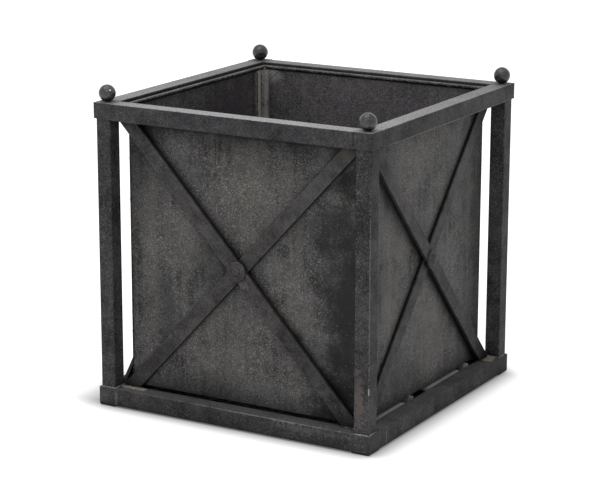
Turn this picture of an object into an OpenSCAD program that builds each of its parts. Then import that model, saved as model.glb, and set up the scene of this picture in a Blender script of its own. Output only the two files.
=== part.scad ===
// A square steel planter frame with a folded sheet liner standing in it.
// Millimetres, +Z up. The origin is on the floor, at the middle of the four feet.
// Front is -Y. Every face of the frame is built alike and turned about the middle.

/* [Frame] */
// Width and depth of the frame, over the corner caps
frame_w = 610; // [400:10:900]
// Height of the frame from the floor to the top of the corner caps
frame_h = 612.5; // [400:0.5:900]
// Side of the square post tube
post_side = 32; // [24:1:50]
// Wall of every tube
tube_wall = 2; // [1.5:0.5:3]
// Rounding of a tube's long edges
tube_round = 2; // [1:0.5:4]
// Side of the square caps and feet that the posts are let into
cap_side = 39.5; // [34:0.5:60]
// Height of a corner cap
cap_h = 31.5; // [25:0.5:60]
// Height of a foot
foot_h = 39; // [30:1:60]
// Rounding of the cap and foot corners
cap_round = 1.5; // [1:0.5:4]
// Rounding under a foot
foot_round = 6; // [2:0.5:8]
// How far the rails lie behind the face of the caps and feet
rail_inset = 0.5; // [0:0.5:6]
// Height of a top rail
top_rail_h = 33; // [20:1:50]
// How far the top rails lie below the top of the caps
top_rail_drop = 0.5; // [0:0.5:10]
// Height of a bottom rail
bottom_rail_h = 35.5; // [20:0.5:39]

/* [Finials] */
// Diameter of a ball
ball_d = 34; // [20:1:50]
// How far a ball's centre stands above its cap
ball_rise = 16.5; // [8:0.5:24]
// Diameter of the neck that a ball stands on
neck_d = 15; // [10:0.5:19]

/* [Cross braces] */
// Width of a flat brace bar
brace_w = 28; // [16:1:45]
// Thickness of the outer bar of each pair
outer_bar_t = 7; // [3:0.5:8]
// Thickness of the inner bar
inner_bar_t = 4.5; // [3:0.5:8]
// Rounding of a bar's long edges
bar_round = 0.8; // [0.4:0.2:1.4]
// Diameter of the rosette where two bars cross
rosette_d = 40; // [26:1:60]
// Thickness of a rosette
rosette_t = 3; // [1:0.5:4]
// Diameter of a rivet's domed head
rivet_head_d = 17; // [10:0.5:24]
// Height of that head
rivet_head_h = 4; // [2:0.5:5]
// Diameter of a rivet's shank
rivet_d = 8; // [5:0.5:10]
// How far an inner bar runs on behind the rails
bar_lap = 12; // [4:1:20]

/* [Base] */
// Width of a base strip
strip_w = 137; // [60:1:180]
// Thickness of a base strip
strip_t = 6; // [2:0.5:8]
// How far the middle of the front base strip lies behind the front rail
front_strip_in = 108; // [80:1:130]
// How far the middle of the back base strip lies before the back rail
back_strip_in = 189; // [160:1:240]
// Thickness of a bearer bar that the liner stands on
bearer_t = 6; // [4:1:12]
// Depth of a bearer bar
bearer_h = 22; // [12:1:30]
// How far the bearers rise above the rails
bearer_rise = 4; // [3:1:10]
// How far the middle of the front bearer lies behind the front rail
front_bearer_in = 209; // [189:1:229]
// How far the middle of the back bearer lies before the back rail
back_bearer_in = 82; // [69:1:89]

/* [Liner] */
// Gap between the liner's walls and the rails
liner_gap = 7.25; // [6:0.25:20]
// Sheet thickness
sheet_t = 1.2; // [0.8:0.1:3]
// Width that a corner facet takes off each wall
facet = 14; // [8:1:40]
// Diameter of the rolled rim
rim_d = 8.5; // [6:0.5:12]
// How far the rim lies below the top of the rails
rim_drop = 5; // [0:0.5:20]
// Width of the soldered lap beside a corner facet
lap_w = 16; // [8:1:30]
// Width of the gusset under the rim at a corner
gusset_w = 24; // [10:1:40]
// Height of that gusset
gusset_h = 21; // [10:1:40]

/* [Hidden] */
$fn = 96;
// Clearance between pieces that move past each other
clearance = 0.3;
// Clearance of a shank in its hole, across the diameter
hole_clearance = 0.3;
// Overcut, so that no cut ends on a face
over = 1;
// Distance from the middle to the axis of a post
corner = (frame_w - cap_side) / 2;
// Inner face of the posts and rails, which lie flush inside
inner = corner - post_side / 2;
rail_w = (cap_side + post_side) / 2 - rail_inset;
// Inner side of the caps and feet, where the rails stop
rail_end = corner - cap_side / 2;
top_rail_top = frame_h - top_rail_drop;
top_rail_z = top_rail_top - top_rail_h;
bottom_rail_top = foot_h;
bottom_rail_z = bottom_rail_top - bottom_rail_h;
// Depth of a post's seat in its cap and its foot
seat = 20;
// The rectangle that a pair of braces fills
bay_h = top_rail_z - bottom_rail_top;
bay_mid = bottom_rail_top + bay_h / 2;
half_diagonal = sqrt(inner * inner + bay_h * bay_h / 4);
// A bar leans so that one of its edges meets the corner of the bay at each end
brace_angle = atan2(bay_h / 2, inner) + asin(brace_w / 2 / half_diagonal);
// The bars meet in the plane of the rails' inner faces: the outer bar stands in the bay and
// the inner bar is lapped behind the rails
rosette_y = inner + outer_bar_t;
// Length of a rivet's shank through rosette and bars, and the tail behind them
shank = rosette_t + outer_bar_t + inner_bar_t;
tail_h = 1.5;
tail_d = 14;
// Sphere that a domed head is the cap of
dome_r = (rivet_head_d * rivet_head_d / 4 + rivet_head_h * rivet_head_h) / 2 / rivet_head_h;
// Liner
liner = inner - liner_gap;
liner_z = bottom_rail_top + bearer_rise + clearance;
rim_z = top_rail_top - rim_drop - rim_d / 2;
wall_h = rim_z - liner_z;
mitre = sheet_t * tan(22.5);
// Middle of the sheet, where the rim's centre line runs
rim_line = liner - sheet_t / 2;
// Underside of the rim, where laps and gussets stop
rim_under = rim_z - rim_d / 2;

// ---- placing ----

// Turns a piece of the front face onto face number side: front, right, back, left
module on_face(side) {
  rotate([0, 0, 90 * side]) children();
}

// ---- shared shapes ----

// A rectangle standing on the X axis, rounded by low_r below and high_r above
module rounded_profile(width, height, low_r, high_r) {
  translate([-width / 2, low_r]) square([width, height - low_r - high_r]);
  translate([-width / 2 + low_r, 0]) square([width - 2 * low_r, height / 2]);
  translate([-width / 2 + high_r, height / 2]) square([width - 2 * high_r, height / 2]);
  for (s = [-1, 1]) {
    translate([s * (width / 2 - low_r), low_r]) circle(low_r);
    translate([s * (width / 2 - high_r), height - high_r]) circle(high_r);
  }
}

// A square block with every edge rounded
module rounded_block(side, height, edge_r, low_r, high_r) {
  intersection() {
    translate([0, -side / 2, 0]) linear_extrude(height) rounded_profile(side, side, edge_r, edge_r);
    rotate([90, 0, 0]) translate([0, 0, -side / 2]) linear_extrude(side)
      rounded_profile(side, height, low_r, high_r);
    rotate([90, 0, 90]) translate([0, 0, -side / 2]) linear_extrude(side)
      rounded_profile(side, height, low_r, high_r);
  }
}

// The section of a tube, standing on the X axis
module tube_section(width, height) {
  difference() {
    rounded_profile(width, height, tube_round, tube_round);
    translate([tube_wall - width / 2, tube_wall])
      square([width - 2 * tube_wall, height - 2 * tube_wall]);
  }
}

// A square tube along Z
module square_tube(side, length) {
  translate([0, -side / 2, 0]) linear_extrude(length) tube_section(side, side);
}

// A rectangular tube along X in the front face, its outer face rail_inset behind the caps
module rail_tube(height) {
  translate([-rail_end, -inner - rail_w / 2, 0]) rotate([90, 0, 90])
    linear_extrude(2 * rail_end) tube_section(rail_w, height);
}

// ---- frame ----

module post(sx, sy) {
  color("DimGray") translate([sx * corner, sy * corner, foot_h - seat])
    square_tube(post_side, frame_h - cap_h + seat - (foot_h - seat));
}

// A cap or foot is hollowed where the post enters it
module cap(sx, sy) {
  color("DarkSlateGray") translate([sx * corner, sy * corner, frame_h - cap_h]) difference() {
    rounded_block(cap_side, cap_h, cap_round, cap_round / 2, cap_round);
    translate([-post_side / 2, -post_side / 2, -over]) cube([post_side, post_side, seat + over]);
  }
}

module foot(sx, sy) {
  color("DarkSlateGray") translate([sx * corner, sy * corner, 0]) difference() {
    rounded_block(cap_side, foot_h, cap_round, foot_round, cap_round / 2);
    translate([-post_side / 2, -post_side / 2, foot_h - seat])
      cube([post_side, post_side, seat + over]);
  }
}

module finial(sx, sy) {
  color("SlateGray") translate([sx * corner, sy * corner, frame_h]) {
    intersection() {
      translate([0, 0, ball_rise]) sphere(d = ball_d);
      translate([-ball_d, -ball_d, 0]) cube([2 * ball_d, 2 * ball_d, 2 * ball_d]);
    }
    cylinder(d = neck_d, h = ball_rise);
  }
}

module top_rail(side) {
  color("DimGray") on_face(side) translate([0, 0, top_rail_z]) rail_tube(top_rail_h);
}

module bottom_rail(side) {
  color("DimGray") on_face(side) translate([0, 0, bottom_rail_z]) rail_tube(bottom_rail_h);
}

// One bar of a pair, its front at depth front, falling to the right when lean is 1, and
// running on behind the rails by lap, beside the caps and feet
module brace_bar(front, thickness, lean, lap) {
  difference() {
    intersection() {
      translate([0, -front + thickness / 2, bay_mid]) rotate([0, lean * brace_angle, 0])
        translate([-half_diagonal - brace_w, 0, -brace_w / 2]) rotate([90, 0, 90])
        linear_extrude(2 * half_diagonal + 2 * brace_w)
        rounded_profile(thickness, brace_w, bar_round, bar_round);
      union() {
        translate([-inner, -front - over, bottom_rail_top])
          cube([2 * inner, thickness + 2 * over, bay_h]);
        translate([-rail_end, -front - over, bottom_rail_top - lap])
          cube([2 * rail_end, thickness + 2 * over, bay_h + 2 * lap]);
      }
    }
    translate([0, -front + thickness + over, bay_mid]) rotate([90, 0, 0])
      cylinder(d = rivet_d + hole_clearance, h = thickness + 2 * over);
  }
}

module outer_brace(side) {
  color("Gray") on_face(side) brace_bar(inner + outer_bar_t, outer_bar_t, 1, 0);
}

module inner_brace(side) {
  color("Gray") on_face(side) brace_bar(inner, inner_bar_t, -1, bar_lap);
}

// The four rosettes, pierced for their rivets
module rosettes() {
  color("SlateGray") for (side = [0:3]) on_face(side)
    translate([0, -rosette_y, bay_mid]) rotate([90, 0, 0]) difference() {
      cylinder(d = rosette_d, h = rosette_t);
      translate([0, 0, -over]) cylinder(d = rivet_d + hole_clearance, h = rosette_t + 2 * over);
    }
}

// The four rivets: a domed head on the rosette, a shank through both bars, a flat tail
module rivets() {
  color("DarkGray") for (side = [0:3]) on_face(side)
    translate([0, -rosette_y - rosette_t, bay_mid]) rotate([90, 0, 0]) {
      intersection() {
        translate([0, 0, rivet_head_h - dome_r]) sphere(dome_r);
        cylinder(d = 2 * rivet_head_d, h = 2 * rivet_head_h);
      }
      translate([0, 0, -shank]) cylinder(d = rivet_d, h = shank);
      translate([0, 0, -shank - tail_h]) cylinder(d = tail_d, h = tail_h);
    }
}

// ---- base ----

module base_strip(y) {
  color("DarkGray") translate([-inner, y - strip_w / 2, bottom_rail_top - strip_t])
    cube([2 * inner, strip_w, strip_t]);
}

module liner_bearers() {
  color("Gray") for (y = [front_bearer_in - inner, inner - back_bearer_in])
    translate([-inner, y - bearer_t / 2, bottom_rail_top + bearer_rise - bearer_h])
      cube([2 * inner, bearer_t, bearer_h]);
}

// ---- liner ----

module liner_floor() {
  half = liner - sheet_t;
  cut = facet + mitre - sheet_t;
  color("Silver") translate([0, 0, liner_z]) linear_extrude(sheet_t) polygon([
    [-half, cut - half], [cut - half, -half], [half - cut, -half], [half, cut - half],
    [half, half - cut], [half - cut, half], [cut - half, half], [-half, half - cut]]);
}

// A wall is one sheet, mitred where it meets the corner facets
module liner_wall(side) {
  color("Silver") on_face(side) translate([0, 0, liner_z]) linear_extrude(wall_h) polygon([
    [facet - liner, -liner], [liner - facet, -liner],
    [liner - facet - mitre, sheet_t - liner], [facet + mitre - liner, sheet_t - liner]]);
}

// A corner: the facet, a lap soldered inside one wall, and a gusset under the rim on each
module liner_corner(side) {
  inside = liner - sheet_t;
  start = liner - facet - mitre;
  lift = liner_z + sheet_t;
  color("LightGray") on_face(side) {
    translate([0, 0, liner_z]) linear_extrude(rim_under - liner_z) polygon([
      [liner - facet, -liner], [liner, facet - liner],
      [inside, -start], [start, -inside]]);
    translate([inside - sheet_t, -start, lift]) cube([sheet_t, lap_w, rim_under - lift]);
    translate([0, -inside + sheet_t, 0]) rotate([90, 0, 0]) linear_extrude(sheet_t) polygon([
      [start, rim_under - gusset_h], [start, rim_under], [start - gusset_w, rim_under]]);
    translate([inside - sheet_t, 0, 0]) rotate([90, 0, 90]) linear_extrude(sheet_t) polygon([
      [-start, rim_under - gusset_h], [-start, rim_under], [gusset_w - start, rim_under]]);
    translate([0, 0, lift]) linear_extrude(rim_under - lift) polygon([
      [start, -inside], [inside, -start], [inside - sheet_t, -start], [start, sheet_t - inside]]);
  }
}

// One side of the rolled rim, mitred at its ends and slotted over the wall
module rim(side) {
  color("LightGray") on_face(side) difference() {
    intersection() {
      translate([-liner, -rim_line, rim_z]) rotate([0, 90, 0]) cylinder(d = rim_d, h = 2 * liner);
      translate([0, 0, rim_z - rim_d]) linear_extrude(2 * rim_d)
        polygon([[0, 0], [-liner - rim_d, -liner - rim_d], [liner + rim_d, -liner - rim_d]]);
    }
    translate([-liner, -liner, rim_z - rim_d]) cube([2 * liner, sheet_t, rim_d]);
  }
}

// ---- nodes ----

post(-1, -1);  // post_front_left
post(1, -1);  // post_front_right
post(1, 1);  // post_back_right
post(-1, 1);  // post_back_left
top_rail(0);  // top_rail_front
top_rail(1);  // top_rail_right
top_rail(2);  // top_rail_back
top_rail(3);  // top_rail_left
bottom_rail(0);  // bottom_rail_front
bottom_rail(1);  // bottom_rail_right
bottom_rail(2);  // bottom_rail_back
bottom_rail(3);  // bottom_rail_left
cap(-1, -1);  // cap_front_left
cap(1, -1);  // cap_front_right
cap(1, 1);  // cap_back_right
cap(-1, 1);  // cap_back_left
foot(-1, -1);  // foot_front_left
foot(1, -1);  // foot_front_right
foot(1, 1);  // foot_back_right
foot(-1, 1);  // foot_back_left
finial(-1, -1);  // finial_front_left
finial(1, -1);  // finial_front_right
finial(1, 1);  // finial_back_right
finial(-1, 1);  // finial_back_left
outer_brace(0);  // outer_brace_front
outer_brace(1);  // outer_brace_right
outer_brace(2);  // outer_brace_back
outer_brace(3);  // outer_brace_left
inner_brace(0);  // inner_brace_front
inner_brace(1);  // inner_brace_right
inner_brace(2);  // inner_brace_back
inner_brace(3);  // inner_brace_left
rosettes();
rivets();
base_strip(front_strip_in - inner);  // base_strip_front
base_strip(inner - back_strip_in);  // base_strip_back
liner_bearers();
liner_floor();
liner_wall(0);  // liner_wall_front
liner_wall(1);  // liner_wall_right
liner_wall(2);  // liner_wall_back
liner_wall(3);  // liner_wall_left
liner_corner(3);  // liner_corner_front_left
liner_corner(0);  // liner_corner_front_right
liner_corner(1);  // liner_corner_back_right
liner_corner(2);  // liner_corner_back_left
rim(0);  // rim_front
rim(1);  // rim_right
rim(2);  // rim_back
rim(3);  // rim_left
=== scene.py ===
# %% [markdown]
# # A square steel planter with a sheet liner
# The planter is an orangery box: square posts with ball finials, rails between them, two
# crossed bars on each face, and a folded sheet liner that lifts out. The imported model
# already holds every piece at its real size, so this lesson is about looks. Shapes that
# are right keep their mesh and get a finish. Sheets, balls, rosettes, rivets and welds
# are modelled again with the softness that a workshop leaves on them.

# %% Load the frame
import bmesh
import bpy
import math
import random
from mathutils import Matrix, Vector


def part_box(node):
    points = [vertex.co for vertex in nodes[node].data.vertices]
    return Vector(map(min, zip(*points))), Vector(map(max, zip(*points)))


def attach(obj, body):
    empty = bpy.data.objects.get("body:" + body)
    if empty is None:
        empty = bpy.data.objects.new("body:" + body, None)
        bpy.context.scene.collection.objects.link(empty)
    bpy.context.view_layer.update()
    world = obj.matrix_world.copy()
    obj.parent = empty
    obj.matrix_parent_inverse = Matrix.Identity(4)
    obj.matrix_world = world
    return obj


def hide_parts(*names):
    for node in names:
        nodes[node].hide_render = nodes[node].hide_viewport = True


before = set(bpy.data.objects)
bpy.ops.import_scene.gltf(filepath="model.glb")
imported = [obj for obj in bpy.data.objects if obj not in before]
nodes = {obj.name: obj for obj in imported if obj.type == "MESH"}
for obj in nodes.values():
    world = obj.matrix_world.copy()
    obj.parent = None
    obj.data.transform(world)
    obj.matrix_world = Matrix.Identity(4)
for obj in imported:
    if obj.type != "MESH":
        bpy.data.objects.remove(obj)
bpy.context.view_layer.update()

# %% [markdown]
# ## The camera
# A long lens stands well back, so the planter shows two faces with little perspective.
# The camera could be given an angle by eye, but then nothing lines up with the
# photograph. Here it looks at a target from a distance, an azimuth and an elevation that
# were fitted to the object's corners, and slides a few millimetres in its own plane.

# %% Camera
AZIMUTH = math.radians(29.869)
ELEVATION = math.radians(14.255)
ROLL = math.radians(0.149)
DISTANCE = 4.3309
TARGET = Vector((0, 0, 0.305))
SLIDE_RIGHT = -0.0068
SLIDE_UP = -0.0009
LENS_MM = 126.91
SENSOR_MM = 36

turn = (Matrix.Rotation(AZIMUTH, 4, "Z")
        @ Matrix.Rotation(math.pi / 2 - ELEVATION, 4, "X")
        @ Matrix.Rotation(ROLL, 4, "Z"))
camera = bpy.data.objects.new("camera", bpy.data.cameras.new("camera"))
camera.data.sensor_width = SENSOR_MM
camera.data.lens = LENS_MM
camera.matrix_world = (Matrix.Translation(TARGET) @ turn
                       @ Matrix.Translation((SLIDE_RIGHT, SLIDE_UP, DISTANCE)))
bpy.context.collection.objects.link(camera)
bpy.context.scene.camera = camera
bpy.context.scene.view_settings.view_transform = "Standard"
print("camera at", tuple(round(v, 3) for v in camera.matrix_world.translation))

# %% [markdown]
# ## Building node trees
# Materials could be clicked together by hand. In a script a small helper keeps them
# readable: it adds a node, changes its settings, and fills each named socket with a
# value or with a link from another node.

# %% Helpers for nodes


def add(tree, kind, feeds=None, **settings):
    """Add a shader node; feeds maps its sockets to values or to other nodes' sockets."""
    made = tree.nodes.new("ShaderNode" + kind)
    for name, value in settings.items():
        setattr(made, name, value)
    for name, value in (feeds or {}).items():
        if isinstance(value, bpy.types.NodeSocket):
            tree.links.new(value, made.inputs[name])
        else:
            made.inputs[name].default_value = value
    return made


def calculate(tree, operation, first, second=0.0, clamp=False):
    """One Math node; returns its result."""
    return add(tree, "Math", {0: first, 1: second}, operation=operation, use_clamp=clamp).outputs[0]


def times(tree, first, second):
    """The product of two values."""
    return calculate(tree, "MULTIPLY", first, second)


def remap(tree, value, low, high, to_low=0.0, to_high=1.0):
    """Stretch low..high to to_low..to_high, cut off at both ends."""
    return add(tree, "MapRange", {"Value": value, "From Min": low, "From Max": high,
                                  "To Min": to_low, "To Max": to_high}).outputs[0]


def blend(tree, mask, under, over, mode="MIX"):
    """Lay one colour over another where the mask is white."""
    return add(tree, "Mix", {0: mask, 6: under, 7: over}, data_type="RGBA", blend_type=mode).outputs[2]


def tone(red, green, blue):
    """A colour written in display values from 0 to 255, as the linear colour that nodes use."""
    def linear(value):
        share = value / 255
        return share / 12.92 if share <= 0.04045 else ((share + 0.055) / 1.055) ** 2.4
    return (linear(red), linear(green), linear(blue), 1.0)


def grey(value):
    """A tone without any hue."""
    return tone(value, value, value)


print("mid grey 128 is", round(grey(128)[0], 3), "in linear light")

# %% [markdown]
# ## Floor and light
# The photograph is a catalogue picture: white all round, with a soft shadow at the feet
# that is widest at the left. One way is to blast the floor with light until it clips, but
# then the object is overlit too. Instead the world is pure white only to camera, glossy
# and transmission rays, and dimmer to diffuse ones, most of all on the right, whose face
# would look too bright at its flat angle. A broad lamp overhead makes the soft shadow and
# a small one in front shines on the balls, whose sharp glints are painted on. The floor
# glows for the eye's rays, but not below the planter, and only little by little where the
# real floor is shadowed; there its colour is darker too, a painted shadow.

# %% World, lamps and floor
AMBIENT_BRIGHT = 1.0
AMBIENT_DIM = 0.36
BRIGHT_SIDE = (-0.75, -0.66, 0.0)
FLOOR_GLOW = 0.62
# The floor's colour near the planter is darker, a painted shadow; it turns into the far colour outside.
FLOOR_SHADOW_COLOUR = (0.32, 0.32, 0.32, 1)
FLOOR_FAR = (0.82, 0.82, 0.82, 1)
FLOOR_HALF = 9.0
FOOTPRINT = 0.275
SHADOW_REACH = {"right": 0.084, "left": 0.17, "front": 0.084, "back": 0.084}
LAMPS = {
    "overhead": {"place": (-0.3, -0.5, 3.2), "aim": (0, 0, 0.3), "size": 2.6, "watts": 34},
    "glint": {"place": (1.2, -2.3, 2.6), "aim": (0, 0, 0.5), "size": 0.3, "watts": 12}}


def seen_by_eye(tree):
    """1 for camera, glossy and transmission rays, 0 for diffuse and shadow rays."""
    path = add(tree, "LightPath").outputs
    eye = calculate(tree, "MAXIMUM", path["Is Camera Ray"], path["Is Glossy Ray"])
    return calculate(tree, "MAXIMUM", eye, path["Is Transmission Ray"])


def make_world():
    """A plain white studio whose light on the object is dimmer than it looks."""
    world = bpy.data.worlds.new("studio")
    world.use_nodes = True
    tree = world.node_tree
    tree.nodes.clear()
    direction = add(tree, "TexCoord").outputs["Generated"]
    towards = add(tree, "VectorMath", {0: direction, 1: BRIGHT_SIDE}, operation="DOT_PRODUCT")
    ambient = remap(tree, towards.outputs["Value"], -1, 1, AMBIENT_DIM, AMBIENT_BRIGHT)
    strength = calculate(tree, "MAXIMUM", ambient, seen_by_eye(tree))
    light = add(tree, "Background", {"Color": (1, 1, 1, 1), "Strength": strength})
    add(tree, "OutputWorld", {"Surface": light.outputs[0]})
    bpy.context.scene.world = world


def make_lamp(name, place, aim, size, watts):
    """A round area lamp at a place, turned towards its aim."""
    lamp = bpy.data.objects.new(name, bpy.data.lights.new(name, "AREA"))
    lamp.data.shape = "DISK"
    lamp.data.size = size
    lamp.data.energy = watts
    direction = Vector(aim) - Vector(place)
    lamp.matrix_world = Matrix.Translation(place) @ direction.to_track_quat("-Z", "Y").to_matrix().to_4x4()
    bpy.context.collection.objects.link(lamp)


def outside_footprint(tree):
    """0 under the planter, rising to 1 where its shadow ends, sooner on some sides than others."""
    place = add(tree, "SeparateXYZ", {0: add(tree, "TexCoord").outputs["Object"]}).outputs
    away = []
    for axis, low_side, high_side in (("X", "left", "right"), ("Y", "front", "back")):
        below = remap(tree, place[axis], -FOOTPRINT, -FOOTPRINT - SHADOW_REACH[low_side])
        above = remap(tree, place[axis], FOOTPRINT, FOOTPRINT + SHADOW_REACH[high_side])
        away.append(calculate(tree, "MAXIMUM", below, above))
    both = add(tree, "CombineXYZ", {0: away[0], 1: away[1]})
    distance = add(tree, "VectorMath", {0: both.outputs[0]}, operation="LENGTH").outputs["Value"]
    return add(tree, "MapRange", {"Value": distance}, interpolation_type="SMOOTHSTEP").outputs[0]


def make_floor():
    """A wide pale plane that glows outside the shadow, and is painted darker inside it."""
    bpy.ops.mesh.primitive_plane_add(size=2 * FLOOR_HALF)
    floor = bpy.context.object
    floor.name = "floor"
    material = bpy.data.materials.new("studio_floor")
    material.use_nodes = True
    tree = material.node_tree
    tree.nodes.clear()
    outside = outside_footprint(tree)
    # Painted shadow: the floor's colour darkens towards the planter.
    matt = add(tree, "BsdfDiffuse", {"Color": blend(tree, outside, FLOOR_SHADOW_COLOUR, FLOOR_FAR)})
    glow = times(tree, seen_by_eye(tree), times(tree, outside, FLOOR_GLOW))
    light = add(tree, "Emission", {"Color": (1, 1, 1, 1), "Strength": glow})
    both = add(tree, "AddShader", {0: matt.outputs[0], 1: light.outputs[0]})
    add(tree, "OutputMaterial", {"Surface": both.outputs[0]})
    floor.data.materials.append(material)


bpy.ops.object.select_all(action="DESELECT")
make_world()
for name, settings in LAMPS.items():
    make_lamp(name, **settings)
make_floor()

# %% [markdown]
# ## Effects that several finishes share
# Old grey metal is never one colour. It is cloudy, pitted, dusty, dotted with pale specks,
# streaked where water ran down, stained here and there and brighter where hands rubbed the
# edges. Over that goes painted light: a painted sheen where a face looks up, and painted
# shade with some grime in the corners. A painted picture would need a flat layout of every
# piece. Here each effect is a node group, built once, that every finish can use at its own
# scale. All of them start from Object coordinates, which belong to the metal and not to the
# camera.

# %% A group with named sockets
HERE = (0.0, 0.0, 0.0)
SAMPLES = 6


def effect(name, build, inputs, output="Mask"):
    """A node group: build gets its tree and its inputs, and returns what the group puts out."""
    tree = bpy.data.node_groups.new(name, "ShaderNodeTree")
    for label, value in inputs.items():
        kind = "NodeSocketVector" if isinstance(value, tuple) else "NodeSocketFloat"
        tree.interface.new_socket(label, in_out="INPUT", socket_type=kind).default_value = value
    tree.interface.new_socket(output, in_out="OUTPUT", socket_type="NodeSocketFloat")
    given = tree.nodes.new("NodeGroupInput").outputs
    out = tree.nodes.new("NodeGroupOutput").inputs[output]
    tree.links.new(build(tree, given), out)
    print("effect", name, "of", len(tree.nodes), "nodes")
    return tree


def use(tree, group, **feeds):
    """Place a group in a material and feed its sockets; returns what it puts out."""
    return add(tree, "Group", feeds, node_tree=group).outputs[0]


def fine(tree, size):
    """The Scale of a texture whose features are about size metres wide."""
    return calculate(tree, "DIVIDE", 1.0, size)


def vector_math(tree, operation, first, second=HERE):
    """One Vector Math node; returns its outputs."""
    return add(tree, "VectorMath", {0: first, 1: second}, operation=operation).outputs


def noise(tree, place, scale, detail, roughness=0.5, distortion=0.0):
    """A soft noise from 0 to 1."""
    return add(tree, "TexNoise", {"Vector": place, "Scale": scale, "Detail": detail, "Roughness": roughness,
                                  "Distortion": distortion}).outputs[0]


def cells(tree, given):
    """A pattern of cells: the distance from the middle of each, and its random numbers."""
    made = add(tree, "TexVoronoi", {"Vector": given["Vector"], "Scale": fine(tree, given["Size"]),
                                    "Randomness": 1.0}).outputs
    return made["Distance"], add(tree, "SeparateColor", {0: made["Color"]}).outputs


print("sockets for a place start at", HERE)

# %% Cloudy mottling


def mottle(tree, given):
    """Soft clouds; Low and High set how much of the metal they cover."""
    cloud = noise(tree, given["Vector"], fine(tree, given["Size"]), 8, roughness=0.76, distortion=0.35)
    return remap(tree, cloud, given["Low"], given["High"])


MOTTLING = effect("mottling", mottle, {"Vector": HERE, "Size": 0.05, "Low": 0.4, "High": 0.6})

# %% Fine pale specks


def sprinkle(tree, given):
    """Round dots, each of its own size, in a share of the cells."""
    distance, chance = cells(tree, given)
    chosen = calculate(tree, "LESS_THAN", chance[0], given["Share"])
    radius = times(tree, given["Dot"], remap(tree, chance[1], 0, 1, 0.45, 1.0))
    inside = calculate(tree, "SUBTRACT", 1.0, calculate(tree, "DIVIDE", distance, radius), clamp=True)
    return times(tree, remap(tree, inside, 0.0, 0.5), chosen)


SPECKS = effect("specks", sprinkle, {"Vector": HERE, "Size": 0.004, "Share": 0.3, "Dot": 0.35})

# %% Dust and pits, down to the size of a grain


def dust_over(tree, given):
    """Every cell gets its own strength; a high Power leaves few strong ones."""
    distance, chance = cells(tree, given)
    strength = calculate(tree, "POWER", chance[0], given["Power"])
    return times(tree, strength, remap(tree, distance, 0.8, 0.3))


DUST = effect("dust", dust_over, {"Vector": HERE, "Size": 0.0025, "Power": 3.0})

# %% Painted sheen on faces that look up


def paint_top_sheen(tree, given):
    """Painted sheen on faces that look up, brightest near one place."""
    up = add(tree, "SeparateXYZ", {0: add(tree, "NewGeometry").outputs["Normal"]}).outputs["Z"]
    patch = noise(tree, given["Vector"], fine(tree, given["Patch"]), 5, roughness=0.8)
    away = vector_math(tree, "DISTANCE", given["Vector"], given["Palest"])["Value"]
    near = remap(tree, away, 0.12, given["Fade"], 1.0, 0.5)
    grainy = times(tree, remap(tree, patch, 0.4, 0.6, 0.2, 1.0), near)
    return times(tree, remap(tree, up, 0.6, 0.95), grainy)


TOP_SHEEN = effect("top_sheen", paint_top_sheen, {"Vector": HERE, "Patch": 0.05, "Palest": HERE, "Fade": 0.6})

# %% Runs of old water


def run_down(tree, given):
    """Noise that is drawn out downwards."""
    across = fine(tree, given["Width"])
    down = fine(tree, given["Length"])
    stretch = add(tree, "CombineXYZ", {0: across, 1: across, 2: down}).outputs[0]
    moved = vector_math(tree, "MULTIPLY", given["Vector"], stretch)[0]
    return remap(tree, noise(tree, moved, 1.0, 3, roughness=0.55, distortion=0.2), 0.42, 0.66)


RUNS = effect("runs", run_down, {"Vector": HERE, "Width": 0.012, "Length": 0.25})

# %% Edges rubbed bright


def rub_edges(tree, given):
    """An edge is where the rounded normal leaves the flat one; noise breaks the line."""
    rounded = add(tree, "Bevel", {"Radius": given["Radius"]}, samples=SAMPLES).outputs[0]
    flat = add(tree, "NewGeometry").outputs["Normal"]
    bent = remap(tree, vector_math(tree, "DOT_PRODUCT", rounded, flat)["Value"], 0.995, 0.86)
    patch = noise(tree, given["Vector"], fine(tree, given["Patch"]), 4, roughness=0.7)
    return times(tree, bent, remap(tree, patch, 0.38, 0.6))


WORN_EDGES = effect("worn_edges", rub_edges, {"Vector": HERE, "Radius": 0.002, "Patch": 0.02})

# %% Painted shade and grime in corners


def darken_corners(tree, given):
    """Painted shade, with some soot, where little of the sky is open within Reach."""
    sky = add(tree, "AmbientOcclusion", {"Distance": given["Reach"]}, samples=SAMPLES).outputs["AO"]
    return remap(tree, sky, 0.9, 0.35)


CORNER_SHADE_AND_GRIME = effect("shade_and_grime", darken_corners, {"Reach": 0.02})

# %% A stain or a cloud at one place


def stain(tree, given):
    """1 at the centre, 0 past the spread; Ragged makes the outline uneven."""
    away = vector_math(tree, "SUBTRACT", given["Vector"], given["Centre"])[0]
    reach = vector_math(tree, "DIVIDE", away, given["Spread"])[0]
    distance = vector_math(tree, "LENGTH", reach)["Value"]
    return remap(tree, calculate(tree, "ADD", distance, given["Ragged"]), given["End"], given["Full"])


STAIN = effect("stain", stain, {"Vector": HERE, "Centre": HERE, "Spread": (0.02, 0.02, 0.02),
                                "Ragged": 0.0, "Full": 0.55, "End": 1.05})

# %% Fine grain for the bump


def roughen(tree, given):
    """Fine grain over broader, shallow dents."""
    scale = fine(tree, given["Size"])
    grain = noise(tree, given["Vector"], scale, 3, roughness=0.6)
    broad = noise(tree, given["Vector"], times(tree, scale, 0.09), 2)
    return calculate(tree, "ADD", times(tree, grain, 0.35), times(tree, broad, given["Dents"]))


GRAIN = effect("grain", roughen, {"Vector": HERE, "Size": 0.0015, "Dents": 0.5}, "Height")
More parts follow.
